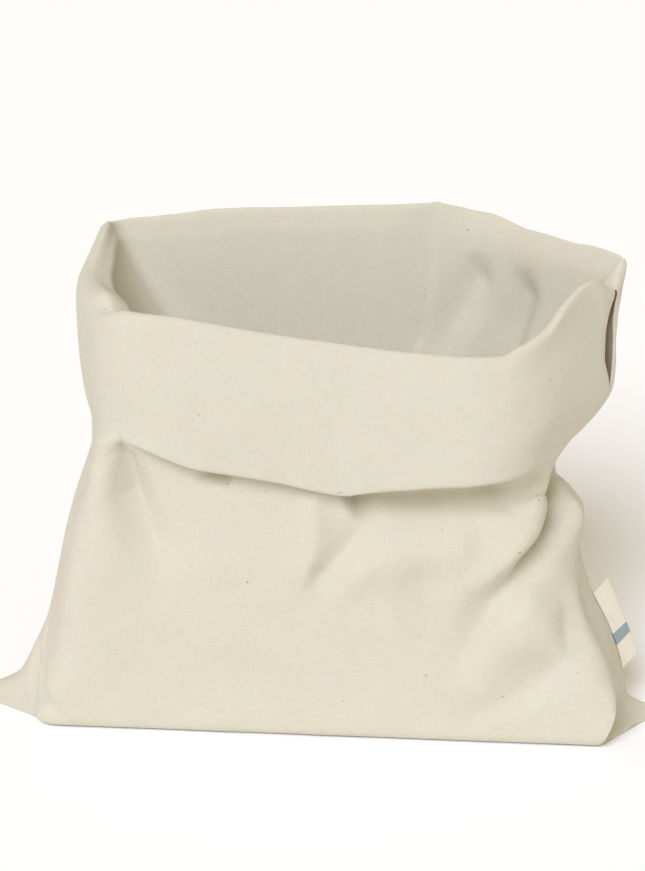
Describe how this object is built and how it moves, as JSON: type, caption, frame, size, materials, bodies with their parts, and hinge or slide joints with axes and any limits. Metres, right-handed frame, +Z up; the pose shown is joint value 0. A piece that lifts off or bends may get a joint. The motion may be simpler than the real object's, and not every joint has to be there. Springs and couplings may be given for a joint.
{
  "type": "drawstring bag",
  "caption": "Open cotton drawstring bag standing on its base, its top folded into a deep soft band, for keeping bread or other dry food.",
  "frame": {"origin": "centre of the bag's footprint box, on the surface it stands on", "axes": "+X along the width of the bag towards the side with the label, -Y out of the front, +Z up"},
  "size_m": [0.3948, 0.1618, 0.277],
  "materials": {
    "natural_cotton": "matt plain weave, unbleached, with small seed flecks",
    "woven_tape": "matt woven tape"
  },
  "bodies": {
    "root": {"front_panel": "natural_cotton", "back_panel": "natural_cotton", "label": "woven_tape"}
  },
  "joints": []
}
